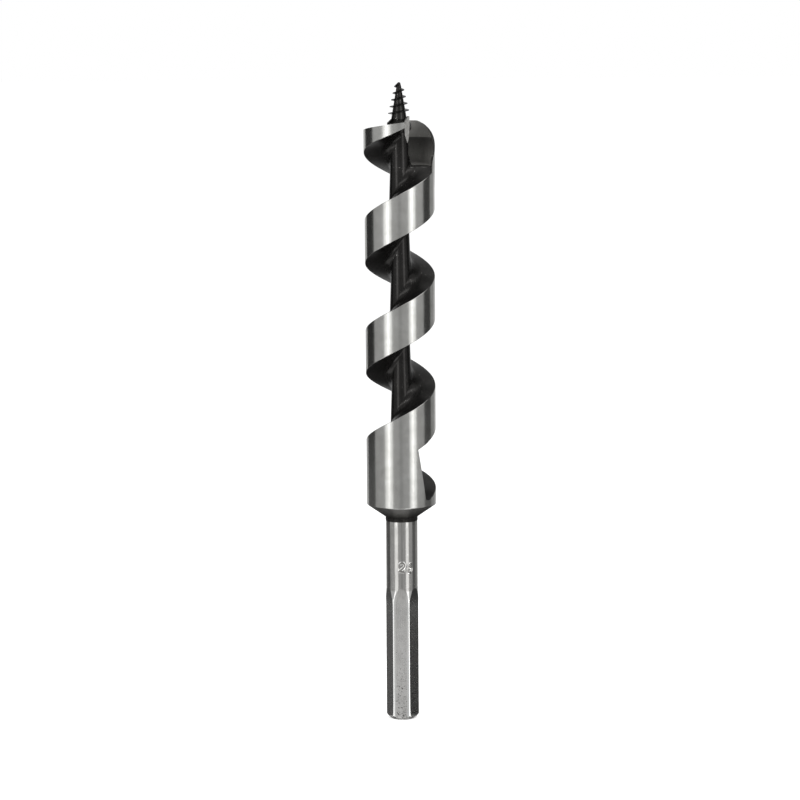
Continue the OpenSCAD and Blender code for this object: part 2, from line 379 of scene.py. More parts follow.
def flute_roof(tree, size, turn):
    """Height of the flute's roof, which sinks to the lip, because the land thickens, or lies open above"""
    swell_ends = [turn, -SWELL_SPAN, 0, 0, size["Lip Swell"]]
    swell = put(tree, MAP_RANGE, swell_ends, interpolation_type="SMOOTHSTEP")
    roof = height_on_helix(tree, size, turn)
    roof = put(tree, MATH, [roof, swell], operation="SUBTRACT")
    is_open = put(tree, MATH, [size["Open Height"], 0], operation="GREATER_THAN")
    either = {"Switch": is_open, "False": roof, "True": size["Open Height"]}
    return put(tree, "GeometryNodeSwitch", either, input_type="FLOAT")


def winding_tree():
    """Winds a straight bar on the flute's helix: its x is the turn, its y the radius, its z the depth"""
    sizes = ["Bar Height", "Lip Height", "Open Height", "Pitch", "Flute Height", "Start", "Start Lean"]
    sizes += ["Start Lift", "Start Rise", "Lean Power", "Lip Swell", "Lip Turn"]
    tree, size = geometry_tree("wind on a helix", sizes)
    place = put(tree, "GeometryNodeInputPosition")
    turn = put(tree, "ShaderNodeSeparateXYZ", [place])
    radius = turn.node.outputs["Y"]
    depth = turn.node.outputs["Z"]
    since = put(tree, MATH, [turn, size["Start"]], operation="SUBTRACT")
    lean = put(tree, MAP_RANGE, [since, 0, LEAN_SPAN, size["Start Lean"], 0])
    floor = flute_floor(tree, size, turn, since, lean)
    roof = flute_roof(tree, size, turn)

    # The bar's lower half follows the floor and its upper half the roof
    from_floor = put(tree, MATH, [floor, depth], operation="ADD")
    from_top = put(tree, MATH, [size["Bar Height"], depth], operation="SUBTRACT")
    from_roof = put(tree, MATH, [roof, from_top], operation="SUBTRACT")
    half = put(tree, MATH, [size["Bar Height"], 2], operation="DIVIDE")
    is_upper = put(tree, MATH, [depth, half], operation="GREATER_THAN")
    either = {"Switch": is_upper, "False": from_floor, "True": from_roof}
    height = put(tree, "GeometryNodeSwitch", either, input_type="FLOAT")

    # The end wall leans the more, the deeper a point lies below the roof
    below = put(tree, MATH, [roof, height], operation="SUBTRACT")
    whole = put(tree, MATH, [roof, floor], operation="SUBTRACT")
    share = put(tree, MATH, [below, whole], operation="DIVIDE", use_clamp=True)
    share = put(tree, MATH, [share, size["Lean Power"]], operation="POWER")
    angle = put(tree, MATH, [lean, share, turn], operation="MULTIPLY_ADD")
    angle = put(tree, MATH, [angle, size["Lip Turn"]], operation="ADD")
    angle = put(tree, MATH, [angle], operation="RADIANS")
    cosine = put(tree, MATH, [angle], operation="COSINE")
    sine = put(tree, MATH, [angle], operation="SINE")
    x = put(tree, MATH, [radius, cosine], operation="MULTIPLY")
    y = put(tree, MATH, [radius, sine], operation="MULTIPLY")
    wound = put(tree, "ShaderNodeCombineXYZ", [x, y, height])
    moved = put(tree, "GeometryNodeSetPosition", {"Geometry": size["Geometry"], "Position": wound})
    outwards = put(tree, "GeometryNodeFlipFaces", {"Mesh": moved})
    end_tree(tree, outwards, size["Material"])
    return tree


def thread_tree():
    """Raises a tapered thread from a turned cone, by each point's turn and height"""
    sizes = ["Nose Height", "Pitch", "Start", "End", "Start Turn", "Height", "Tip Height"]
    sizes += ["Root Width", "Tip Width"]
    tree, size = geometry_tree("thread on a cone", sizes)
    place = put(tree, "GeometryNodeInputPosition")
    x = put(tree, "ShaderNodeSeparateXYZ", [place])
    y = x.node.outputs["Y"]
    z = x.node.outputs["Z"]
    height = put(tree, MATH, [z, size["Nose Height"]], operation="SUBTRACT")

    # How far a point lies from the nearest thread, along the screw
    turn = put(tree, MATH, [y, x], operation="ARCTAN2")
    turn = put(tree, MATH, [turn], operation="DEGREES")
    turn = put(tree, MATH, [turn, size["Start Turn"]], operation="SUBTRACT")
    turn = put(tree, MATH, [turn, 360], operation="DIVIDE")
    climbed = put(tree, MATH, [height, size["Start"]], operation="SUBTRACT")
    climbed = put(tree, MATH, [climbed, size["Pitch"]], operation="DIVIDE")
    phase = put(tree, MATH, [climbed, turn], operation="SUBTRACT")
    nearest = put(tree, MATH, [phase], operation="ROUND")
    off = put(tree, MATH, [phase, nearest], operation="SUBTRACT")
    off = put(tree, MATH, [off], operation="ABSOLUTE")
    off = put(tree, MATH, [off, size["Pitch"]], operation="MULTIPLY")
    ridge = put(tree, MAP_RANGE, [off, size["Tip Width"], size["Root Width"], 1, 0])
    crest_ends = [height, size["Start"], size["End"], size["Height"], size["Tip Height"]]
    crest = put(tree, MAP_RANGE, crest_ends)

    # The ridge grows out of the cone and sinks back into it, counted along its own helix
    wound = put(tree, MATH, [turn, nearest], operation="ADD")
    grow = put(tree, MAP_RANGE, [wound, 0, THREAD_RUNOUT])
    length = put(tree, MATH, [size["End"], size["Start"]], operation="SUBTRACT")
    length = put(tree, MATH, [length, size["Pitch"]], operation="DIVIDE")
    left = put(tree, MATH, [length, wound], operation="SUBTRACT")
    fade = put(tree, MAP_RANGE, [left, 0, THREAD_RUNOUT])
    raised = ridge
    for share in (crest, grow, fade):
        raised = put(tree, MATH, [raised, share], operation="MULTIPLY")
    flat = put(tree, "ShaderNodeCombineXYZ", [x, y])
    outward = put(tree, VECTOR_MATH, [flat], operation="NORMALIZE")
    offset = put(tree, VECTOR_MATH, {0: outward, "Scale": raised}, operation="SCALE")
    moved = put(tree, "GeometryNodeSetPosition", {"Geometry": size["Geometry"], "Offset": offset})
    end_tree(tree, moved, size["Material"])
    return tree


# Materials

HEAT_TINT = "#444340"
BRIGHT = "#FAFAF8"
# Colour of the painted shade laid over the oxide
SHADE_PAINT = "#1B1B1A"

# Reach of the brazing heat from the seam up the cone: full, gone, and how far that wanders. Down the
# neck it is so many times shorter
HEAT_FULL = 1.8
HEAT_REACH = 6.2
HEAT_WANDER = 2.2
NECK_COOLING = 5

# The hex bar's worn length, how soft the edge of a mark is, the radius past which its corners are
# burnished, and how far past the hex part its finish runs out
WORN_LEN = 28
MARK_EDGE = 0.06
BURNISHED_R = 5.62
HEX_RUNOUT = 6.5


def linear(hex_colour):
    """An sRGB hex colour as the linear values that a shader takes"""
    parts = [int(hex_colour[i : i + 2], 16) / 255 for i in (1, 3, 5)]
    return (*[p / 12.92 if p <= 0.04045 else ((p + 0.055) / 1.055) ** 2.4 for p in parts], 1.0)


def empty_material(name):
    material = bpy.data.materials.new(name)
    material.use_nodes = True
    material.node_tree.nodes.clear()
    return material, material.node_tree


def metal_start(name):
    """An empty material with its object coordinates and the height in them"""
    material, tree = empty_material(name)
    place = put(tree, "ShaderNodeTexCoord").node.outputs["Object"]
    height = put(tree, "ShaderNodeSeparateXYZ", [place]).node.outputs["Z"]
    return material, tree, place, height


def metal_end(tree, paint, gloss, relief, metallic=1.0):
    shader = {"Base Color": paint, "Metallic": metallic, "Roughness": gloss, "Normal": relief}
    surface = put(tree, "ShaderNodeBsdfPrincipled", shader)
    put(tree, "ShaderNodeOutputMaterial", {"Surface": surface})


def grain(tree, place, size_mm, detail, stretch=(1, 1, 1)):
    """Noise whose grains are size_mm wide; a stretch under 1 makes them longer along that axis"""
    stretched = put(tree, "ShaderNodeMapping", {"Vector": place, "Scale": stretch})
    pattern = {"Vector": stretched, "Scale": 1 / (size_mm * MM), "Detail": detail, "Roughness": 0.6}
    return put(tree, "ShaderNodeTexNoise", pattern)


def coats(tree, first, later):
    """Colours laid one over another, each by its own share"""
    paint = linear(first)
    for share, colour in later:
        coat = {"Factor": share, "A": paint, "B": linear(colour)}
        paint = put(tree, "ShaderNodeMix", coat, data_type="RGBA")
    return paint


def from_axis(tree, place):
    """Distance of a point from the bit's axis"""
    flat = put(tree, VECTOR_MATH, [place, (1, 1, 0)], operation="MULTIPLY")
    return put(tree, VECTOR_MATH, [flat], operation="LENGTH")


def heat_share(tree, place, height):
    """How far the brazing flame has darkened the steel: most at the seam, uneven, and further up the
    cone than down the neck"""
    above = put(tree, MATH, [height, SEAM_MID_Z * MM], operation="SUBTRACT")
    below = put(tree, MATH, [above, -NECK_COOLING], operation="MULTIPLY")
    off = put(tree, MATH, [above, below], operation="MAXIMUM")
    wander = grain(tree, place, 2.0, 3.0)
    off = put(tree, MATH, [wander, HEAT_WANDER * MM, off], operation="MULTIPLY_ADD")
    ends = [off, HEAT_FULL * MM, HEAT_REACH * MM, 1, 0]
    return put(tree, MAP_RANGE, ends, interpolation_type="SMOOTHSTEP")


def ground_steel():
    """Carbon steel, cylindrically ground: bright and clean, with lines round the bit that give a
    reflection gritty edges. The cone is turned, duller, and darkened by the brazing flame. Real
    grinding lines are some hundredths of a millimetre wide, too fine for the render, so they are drawn
    as wide as 0.2 mm."""
    material, tree, place, height = metal_start("cylindrically ground steel")
    clouds = grain(tree, place, 5.0, 4.0)
    lines = grain(tree, place, 0.22, 3.0, (0.2, 0.2, 1.0))
    grit = grain(tree, place, 0.3, 2.0)
    cloudy = put(tree, MAP_RANGE, [clouds, 0.35, 0.7])
    is_cone = put(tree, MAP_RANGE, [height, (BARREL_Z - 0.3) * MM, BARREL_Z * MM, 1, 0])
    heat = heat_share(tree, place, height)
    paint = coats(tree, "#DADAD7", [(cloudy, "#CBCBC7"), (is_cone, "#858482"), (heat, HEAT_TINT)])
    gloss = put(tree, MAP_RANGE, [grit, 0.35, 0.7, 0.14, 0.25])
    gloss = put(tree, MATH, [is_cone, 0.3, gloss], operation="MULTIPLY_ADD")
    fine = put(tree, "ShaderNodeBump", {"Height": lines, "Strength": 0.16, "Distance": 0.02 * MM})
    coarse = {"Height": grit, "Strength": 0.25, "Distance": 0.02 * MM, "Normal": fine}
    metal_end(tree, paint, gloss, put(tree, "ShaderNodeBump", coarse))
    return material


def filed_steel():
    """The spur, filed by hand after grinding: the same steel, duller, with scratches along it"""
    material, tree, place, _ = metal_start("filed steel")
    scratches = grain(tree, place, 0.15, 3.0, (1.0, 1.0, 0.15))
    scratched = put(tree, MAP_RANGE, [scratches, 0.35, 0.65])
    paint = coats(tree, "#B4B3B0", [(scratched, "#959491")])
    gloss = put(tree, MAP_RANGE, [scratches, 0.3, 0.7, 0.3, 0.4])
    relief = put(tree, "ShaderNodeBump", {"Height": scratches, "Strength": 0.2, "Distance": 0.03 * MM})
    metal_end(tree, paint, gloss, relief)
    return material


def floor_edge(tree, height):
    """A little more chipping just below the edge of the throat's floor"""
    off = put(tree, MATH, [height, (FLOOR_Z - 0.2) * MM], operation="SUBTRACT")
    off = put(tree, MATH, [off], operation="ABSOLUTE")
    return put(tree, MAP_RANGE, [off, 0.1 * MM, 0.18 * MM, 0.12, 0])


def painted_shade_under_bevel(tree, place, height):
    """Painted shade on the throat's wall, for the shade in the recess under its bevel: darkest just under
    the bevel, fading lower down, and lighter on the bevel itself
    """
    bevel_foot = LIP_Z - BEVEL_H
    above = put(tree, MAP_RANGE, [height, (bevel_foot - 0.1) * MM, (bevel_foot + 0.1) * MM, 1, 0.35])
    below = put(tree, MAP_RANGE, [height, (bevel_foot - 6.5) * MM, (bevel_foot - 1) * MM, 0, 0.75])
    return put(tree, MATH, [above, below], operation="MULTIPLY")


def painted_shade_on_thread(tree, place, height):
    """Painted shade on the thread's flanks, for the shade between the threads; the root between them is left
    unpainted
    """
    foot = (NOSE_Z + COLLAR_H) * MM
    tip = (NOSE_Z + SCREW_LEN - POINT_LEN) * MM
    root = put(tree, MAP_RANGE, [height, foot, tip, ROOT_D / 2 * MM, ROOT_TIP_D / 2 * MM])
    proud = put(tree, MATH, [from_axis(tree, place), root], operation="SUBTRACT")
    return put(tree, MAP_RANGE, [proud, 0.04 * MM, 0.16 * MM, 0, 0.9])


def oxide(name, colour, worn, gloss, outer_gloss, grain_mm, metallic, shade=None):
    """Steel in hot black oxide: nearly black with a tight sheen, a little lighter where handling has
    polished it, slightly scaly, with pale dots where the oxide has chipped. The gloss changes away from
    the core, and a shade function can paint shade over a part. Real oxide scale is finer than the render
    shows, so its grain is drawn 0.2 to 0.5 mm wide."""
    material, tree, place, height = metal_start(name)
    clouds = grain(tree, place, 7.0, 5.0)
    scale = grain(tree, place, grain_mm, 4.0)
    chips = grain(tree, place, 0.35, 1.0)
    where = grain(tree, place, 4.0, 2.0)
    handled = put(tree, MAP_RANGE, [clouds, 0.4, 0.7])
    chipped = put(tree, MATH, [where, 0.35, chips], operation="MULTIPLY_ADD")
    chipped = put(tree, MATH, [floor_edge(tree, height), chipped], operation="ADD")
    bare = put(tree, MAP_RANGE, [chipped, 0.93, 0.96])
    # Painted shade, where a shade function is given
    shaded = [(shade(tree, place, height), SHADE_PAINT)] if shade else []
    paint = coats(tree, colour, [(handled, worn), *shaded, (bare, "#B5B4B0")])
    duller = put(tree, MAP_RANGE, [from_axis(tree, place), 4.5 * MM, 6.5 * MM, 0, outer_gloss - gloss])
    gloss = put(tree, MAP_RANGE, [scale, 0.3, 0.7, gloss - 0.03, gloss + 0.05])
    gloss = put(tree, MATH, [gloss, duller], operation="ADD")
    relief = put(tree, "ShaderNodeBump", {"Height": scale, "Strength": 0.2, "Distance": 0.04 * MM})
    metal_end(tree, paint, gloss, relief, metallic)
    return material


def flute_oxide():
    """Hot black oxide on the forged flutes: the chips polish the core, and the flanks stay duller"""
    return oxide("black oxide on forged steel", "#2F2E2D", "#3A3938", 0.17, 0.34, 0.5, 0.88)


def throat_oxide():
    """Hot black oxide on the bored throat, which the boring tool left duller; its paler colour is painted
    light on the wall, and painted shade lies under the bevel
    """
    return oxide("black oxide on bored steel", "#686764", "#7B7A77", 0.4, 0.4, 0.3, 0.4, painted_shade_under_bevel)


def screw_oxide():
    """Hot black oxide on the turned screw, whose finer surface keeps a sharper sheen, with painted shade on
    its thread's flanks
    """
    return oxide("black oxide on turned steel", "#353433", "#454442", 0.16, 0.16, 0.2, 0.95, painted_shade_on_thread)


def wear(tree, pattern, worn, is_hex, start, most):
    """Marks of a pattern on the hex bar, which crowd where the bar is worn"""
    crowded = put(tree, MATH, [pattern, worn], operation="ADD")
    marked = put(tree, MAP_RANGE, [crowded, start, start + MARK_EDGE, 0, most])
    return put(tree, MATH, [marked, is_hex], operation="MULTIPLY")


def burnish(tree, place, is_hex):
    """The chuck burnishes the hex corners, and handling the rims of the size mark"""
    out = from_axis(tree, place)
    corner = put(tree, MAP_RANGE, [out, BURNISHED_R * MM, (BURNISHED_R + 0.16) * MM])
    corner = put(tree, MATH, [corner, is_hex], operation="MULTIPLY")
    rim = put(tree, MAP_RANGE, [out, (NECK_R + 0.02) * MM, (NECK_R + 0.05) * MM])
    return put(tree, MATH, [corner, rim], operation="MAXIMUM")


def drawn_steel():
    """Cold drawn hex bar: pale steel, dulled by the die, with faint lines along it, pits and scuffs that
    crowd towards the worn end and a few bright nicks. The turned neck is smoother and glossier. Real
    drawing lines are finer than the render shows, so they are drawn 0.3 mm wide."""
    material, tree, place, height = metal_start("cold drawn steel")
    hex_ends = [height, HEX_LEN * MM, (HEX_LEN + HEX_RUNOUT) * MM, 1, 0]
    is_hex = put(tree, MAP_RANGE, hex_ends, interpolation_type="SMOOTHSTEP")
    clouds = grain(tree, place, 4.0, 4.0)
    lines = grain(tree, place, 0.3, 3.0, (1.0, 1.0, 0.06))
    pits = grain(tree, place, 0.55, 2.0)
    nicks = grain(tree, place, 0.9, 1.0)
    scuffs = grain(tree, place, 0.5, 2.0, (0.3, 0.3, 1.6))
    worn = put(tree, MAP_RANGE, [height, 0, WORN_LEN * MM, 0.11, 0])
    worn = put(tree, MATH, [worn, is_hex], operation="MULTIPLY")
    cloudy = put(tree, MAP_RANGE, [clouds, 0.35, 0.7, 0, 0.35])
    lined = put(tree, MAP_RANGE, [lines, 0.5, 0.8, 0, 0.5])
    scuffed = wear(tree, scuffs, worn, is_hex, 0.66, 0.6)
    pitted = wear(tree, pits, worn, is_hex, 0.68, 1)
    nicked = put(tree, MAP_RANGE, [nicks, 0.76, 0.79])
    burnished = burnish(tree, place, is_hex)
    later = [(is_hex, "#EEEDEB"), (cloudy, "#B4B3B0"), (lined, "#A3A29F"), (scuffed, "#8F8D8A")]
    later += [(pitted, "#5C5A57"), (nicked, BRIGHT), (burnished, BRIGHT)]
    later.append((heat_share(tree, place, height), HEAT_TINT))
    paint = coats(tree, "#D6D5D2", later)
    gloss = put(tree, MAP_RANGE, [clouds, 0.3, 0.7, 0.12, 0.18])
    gloss = put(tree, MATH, [is_hex, 0.12, gloss], operation="MULTIPLY_ADD")
    gloss = put(tree, MATH, [burnished, -0.1, gloss], operation="MULTIPLY_ADD")
    deep = put(tree, MATH, [pitted, -3, lines], operation="MULTIPLY_ADD")
    rough = put(tree, MAP_RANGE, [is_hex, 0, 1, 0.05, 0.14])
    relief = put(tree, "ShaderNodeBump", {"Height": deep, "Strength": rough, "Distance": 0.03 * MM})
    metal_end(tree, paint, gloss, relief)
    return material


def braze_metal():
    """Silver braze under burnt flux: nearly black, dull and uneven"""
    material, tree, place, _ = metal_start("heat-darkened braze")
    clouds = grain(tree, place, 1.2, 4.0)
    crust = grain(tree, place, 0.3, 3.0)
    cloudy = put(tree, MAP_RANGE, [clouds, 0.4, 0.65])
    paint = coats(tree, "#1B1A19", [(cloudy, "#33312F")])
    gloss = put(tree, MAP_RANGE, [crust, 0.3, 0.7, 0.4, 0.6])
    relief = put(tree, "ShaderNodeBump", {"Height": crust, "Strength": 0.6, "Distance": 0.06 * MM})
    metal_end(tree, paint, gloss, relief, 0.7)
    return material


# The forging


def throat_wall(angle):
    """Radius of the off-centre throat's wall from the bit's axis"""
    off = math.radians(angle + LIP_TURN - THROAT_SIDE)
    across = THROAT_OFFSET * math.sin(off)
    return THROAT_OFFSET * math.cos(off) + math.sqrt((THROAT_D / 2) ** 2 - across**2)


def blank_radius(height):
    """The head is a little larger than the twist and blends into it"""
    share = max(0, min(1, (height - HEAD_Z) / HEAD_BLEND))
    return TWIST_R + (HEAD_R - TWIST_R) * share


def flute_bar(start, end, bar_height):
    """The flute's section as a straight bar along its turn: floor fillet, core, roof fillet, open side.

    The open side flares where it leaves the blank, which breaks the land's edges.
    """
    rings = []
    for turn in steps(start, end, math.ceil((end - start) / FLUTE_STEP)):
        foot = CORE_R + CORE_FLARE / 2
        roof = LIP_Z + PITCH * turn / 360
        is_throat = turn > WING_START
        out = throat_wall(turn) - THROAT_OFFSET / 3 if is_throat else HEAD_R + OVERRUN
        edge = EDGE_BREAK if turn > FLUTE_START + EDGE_FROM and not is_throat else 0
        low_r = blank_radius(roof - FLUTE_H)
        high_r = blank_radius(roof)
        ring = []
        for t in steps(0, math.pi / 2, FILLET_STEPS):
            ring.append((turn, foot + UPPER_FILLET * (1 - math.sin(t)), UPPER_FILLET * (1 - math.cos(t))))
        for t in steps(math.pi / 2, 0, FILLET_STEPS):
            fall = LOWER_FILLET * (1 - math.cos(t))
            ring.append((turn, CORE_R + LOWER_FILLET * (1 - math.sin(t)), bar_height - fall))
        ring.append((turn, min(out - 2 * APART, high_r - edge), bar_height))
        ring.append((turn, min(out - APART, high_r + edge), bar_height + 2 * edge))
        ring.append((turn, out, bar_height + 2 * edge))
        ring.append((turn, out, -2 * edge))
        ring.append((turn, min(out - APART, low_r + edge), -2 * edge))
        ring.append((turn, min(out - 2 * APART, low_r - edge), 0))
        rings.append(ring)
    return ring_solid("flute_cutter", rings)


def wing_height(angle):
    """Height of the head's rim: the wall's rounded heel, its level top, and the relieved end face"""
    if angle < WING_FULL:
        s = min(1, (WING_FULL - angle) / (WING_FULL - WING_START))
        return FLOOR_Z + (LIP_Z - FLOOR_Z) * (1 - s**WING_POWER) ** (1 / WING_POWER)
    if angle < WING_END:
        fall = RELIEF_FALL * (WING_END - 360) / 360
        return LIP_Z + fall * smooth((angle - WING_LEAVE) / (WING_END - WING_LEAVE))
    return LIP_Z + RELIEF_FALL * (angle - 360) / 360


def rim_cutter():
    """Everything above the head's rim"""
    start = WING_START - RIM_LEAD
    end = 360 + LIP_FACE
    rings = []
    for angle in steps(start, end, math.ceil((end - start) / RIM_STEP)):
        low = wing_height(max(angle, WING_START))
        corners = [(CORE_R, low), (CORE_R, TOP_Z), (HEAD_R + OVERRUN, TOP_Z), (HEAD_R + OVERRUN, low)]
        rings.append([at(angle, r, z) for r, z in corners])
    return ring_solid("rim_cutter", rings)


def throat_cutter():
    """The off-centre throat: flat floor, rounded corner, upright wall and the bevel at its top"""
    corner = THROAT_OFFSET
    flare = BEVEL_T / BEVEL_H * (TOP_Z - LIP_Z + BEVEL_H)
    start = WING_START + THROAT_LAG
    rings = []
    for angle in steps(start, WING_END, math.ceil((WING_END - start) / RIM_STEP)):
        wall = throat_wall(angle)
        section = [(CORE_R, FLOOR_Z)]
        for t in steps(0, math.pi / 2, FILLET_STEPS):
            section.append((wall - corner * (1 - math.sin(t)), FLOOR_Z + corner * (1 - math.cos(t))))
        section.append((wall, LIP_Z - BEVEL_H))
        section.append((wall + flare, TOP_Z))
        section.append((CORE_R, TOP_Z))
        rings.append([at(angle, r, z) for r, z in section])
    return ring_solid("throat_cutter", rings)


def spur_blade():
    """The side spur: a narrow blade on the land's outside, ground to a point above and below"""
    half = SPUR_W / 2
    top_shares = [(0.95, 1), (0.5, 1), (-0.5, 0.4), (-1, 0.1)]
    low_shares = [(-1, -0.62), (0.15, -1), (0.55, -0.8), (1, -0.2)]
    outline = [(s * half, LIP_Z + t * SPUR_RISE) for s, t in top_shares]
    outline += [(s * half, LIP_Z + t * SPUR_DROP) for s, t in low_shares]
    middle = LIP_TURN + LIP_FACE + math.degrees(math.atan(half / HEAD_R)) + FRONT
    rings = []
    for reach in steps(-HEAD_R + SPUR_T, -HEAD_R, 2):
        ring = []
        for across, z in outline:
            turn = math.radians(middle) + across / HEAD_R
            ring.append((-reach * math.cos(turn), -reach * math.sin(turn), z))
        rings.append(ring)
    return ring_solid("spur_cutter", rings)


def turned_blank():
    """The forging's turned outside, with its tang below the cone"""
    outline = [
        (0, SHANK_LEN - TANG_LEN),
        (TANG_R, SHANK_LEN - TANG_LEN),
        (TANG_R, SEAM_MID_Z + GROOVE_W / 2),
        (NECK_R, SEAM_Z),
        (TWIST_R - CONE_EDGE_R, BARREL_Z - CONE_EDGE_H),
        (TWIST_R, BARREL_Z + CONE_EDGE_H),
        (TWIST_R, HEAD_Z),
        (HEAD_R, HEAD_Z + HEAD_BLEND),
        (HEAD_R, LIP_Z),
        (0, LIP_Z),
    ]
    return turned("ground_auger_body", outline, BODY_SIDES)


def flute_cutters(winding, dark):
    """The flute up to the lip, and the ramp past the lip, which lies open above"""
    bar_height = UPPER_FILLET + LOWER_FILLET + OVERRUN
    sizes = {
        "Bar Height": bar_height,
        "Lip Height": LIP_Z,
        "Open Height": 0.0,
        "Pitch": PITCH,
        "Flute Height": FLUTE_H,
        "Start": FLUTE_START,
        "Start Lean": START_LEAN,
        "Start Lift": START_LIFT,
        "Start Rise": START_RISE,
        "Lean Power": LEAN_POWER,
        "Lip Swell": LIP_T + PITCH * LIP_FACE / 360,
        "Lip Turn": float(LIP_TURN + FRONT),
        "Material": dark,
    }
    flute = flute_bar(FLUTE_START, LIP_FACE + FACE_OVERLAP, bar_height)
    run_tree(flute, winding, sizes)
    open_ramp = flute_bar(LIP_FACE, FLUTE_END, bar_height)
    run_tree(open_ramp, winding, {**sizes, "Open Height": TOP_Z + UPPER_FILLET})
    return flute, open_ramp


def nose_boss():
    """The boss that carries the lead screw, with its own taper down to the core"""
    half = NOSE_R / 2
    outline = [
        (0, NOSE_Z - 2 * half),
        (CORE_R - OVERRUN / 4, NOSE_Z - 2 * half),
        (NOSE_R, NOSE_Z - half),
        (NOSE_R, NOSE_Z),
        (0, NOSE_Z),
    ]
    return turned("boss", outline, SCREW_SIDES)


def screw_bore():
    """The bore for the lead screw's stem, and room for its collar above the boss"""
    bore_r = STEM_D / 2 + STEM_CLEARANCE
    seat_r = NOSE_R + STEM_CLEARANCE
    outline = [
        (0, NOSE_Z - STEM_LEN),
        (bore_r, NOSE_Z - STEM_LEN),
        (bore_r, NOSE_Z),
        (seat_r, NOSE_Z),
        (seat_r, TOP_Z),
        (0, TOP_Z),
    ]
    return turned("bore", outline, SCREW_SIDES)


def auger_body(winding, ground, dark, filed, bored):
    """Forged, twisted and ground: blank, flute, ramp, rim, throat, boss, spur and bore"""
    body = turned_blank()
    for cutter in (*flute_cutters(winding, dark), rim_cutter(), throat_cutter()):
        combine(body, cutter, "DIFFERENCE")
    combine(body, nose_boss(), "UNION")
    combine(body, spur_blade(), "UNION")
    combine(body, screw_bore(), "DIFFERENCE")
    finish_faces(body, ground, dark, filed, bored)
    finished(body, "auger_body", sharp=12)


def finish_faces(body, *finishes):
    """The wheel reached the land, the barrel, the cone and the end face, the file the spur, and the
    borer the throat's wall; the rest stayed as forged. The finishes are given as ground, forged,
    filed and bored."""
    ground, forged, filed, bored = range(4)
    body.data.materials.clear()
    for finish in finishes:
        body.data.materials.append(finish)
    for face in body.data.polygons:
        middle = face.center
        out = math.hypot(middle.x, middle.y)
        turn = math.degrees(math.atan2(middle.x, -middle.y)) - LIP_TURN - LIP_FACE
        radial = Vector((middle.x, middle.y, 0)).normalized().dot(face.normal)
        is_land = out > TWIST_R - EDGE_BREAK - NEAR / 2 and radial > UPRIGHT
        is_cone = middle.z < BARREL_Z + 1.5 * NEAR
        is_end_face = middle.z > END_FACE_FROM and face.normal.z > LEVEL and out > NOSE_R
        is_spur = middle.z > LIP_Z - SPUR_DROP and out > HEAD_R - SPUR_T - NEAR and -NEAR < turn < SPUR_SPAN
        is_throat = middle.z > FLOOR_Z + NEAR / 10 and out > HEAD_R / 2 and radial < -UPRIGHT
        if is_spur:
            face.material_index = filed
        elif is_throat:
            face.material_index = bored
        else:
            face.material_index = ground if is_land or is_cone or is_end_face else forged


# The other pieces


def lead_screw(dark):
    """Turned cone with its collar and stem; the thread is raised on it"""
    outline = [
        (0, -STEM_LEN + STEM_CLEARANCE),
        (STEM_D / 2, -STEM_LEN + STEM_CLEARANCE),
        (STEM_D / 2, 0),
        (NOSE_R, 0),
        (NOSE_R - COLLAR_EDGE, 1.5 * COLLAR_EDGE),
    ]
    for z in steps(COLLAR_H, SCREW_LEN - POINT_LEN, SCREW_RINGS):
        share = (z - COLLAR_H) / (SCREW_LEN - POINT_LEN - COLLAR_H)
        outline.append((ROOT_D / 2 + (ROOT_TIP_D - ROOT_D) / 2 * share, z))
    outline += [
        (ROOT_TIP_D / 3, SCREW_LEN - ROOT_TIP_D / 6),
        (ROOT_TIP_D / 6, SCREW_LEN),
        (0, SCREW_LEN),
    ]
    outline = [(r, z + NOSE_Z) for r, z in outline]
    screw = turned("oxide_lead_screw", outline, SCREW_SIDES)
    start = COLLAR_H + THREAD_PITCH / 2
    sizes = {
        "Nose Height": NOSE_Z,
        "Pitch": THREAD_PITCH,
        "Start": start,
        "End": start + THREAD_PITCH * THREAD_TURNS,
        "Start Turn": float(THREAD_TURN + FRONT),
        "Height": THREAD_H,
        "Tip Height": THREAD_TIP_H,
        "Root Width": THREAD_W / 2,
        "Tip Width": THREAD_W / 6,
        "Material": dark,
    }
    run_tree(screw, thread_tree(), sizes)
    finished(screw, "lead_screw", sharp=50)


def soft_min(first, second, blend):
    """The smaller of two lengths, eased over where they are nearly the same"""
    share = max(0, min(1, 0.5 + 0.5 * (second - first) / blend))
    return second + (first - second) * share - blend * share * (1 - share)


def hex_edge(turn, flat, corner_r):
    """Distance from the axis to the side of a hex with rounded corners, in a direction"""
    off = math.radians(abs((turn - HEX_TURN + 30) % 60 - 30))
    from_corner = math.radians(30) - off
    centre = (flat - corner_r) / math.cos(math.radians(30))
    reach = math.atan2(corner_r * math.sin(math.radians(30)), centre + corner_r * math.cos(math.radians(30)))
    if from_corner > reach:
        return flat / math.cos(off)
    across = centre * math.sin(from_corner)
    return centre * math.cos(from_corner) + math.sqrt(corner_r**2 - across**2)


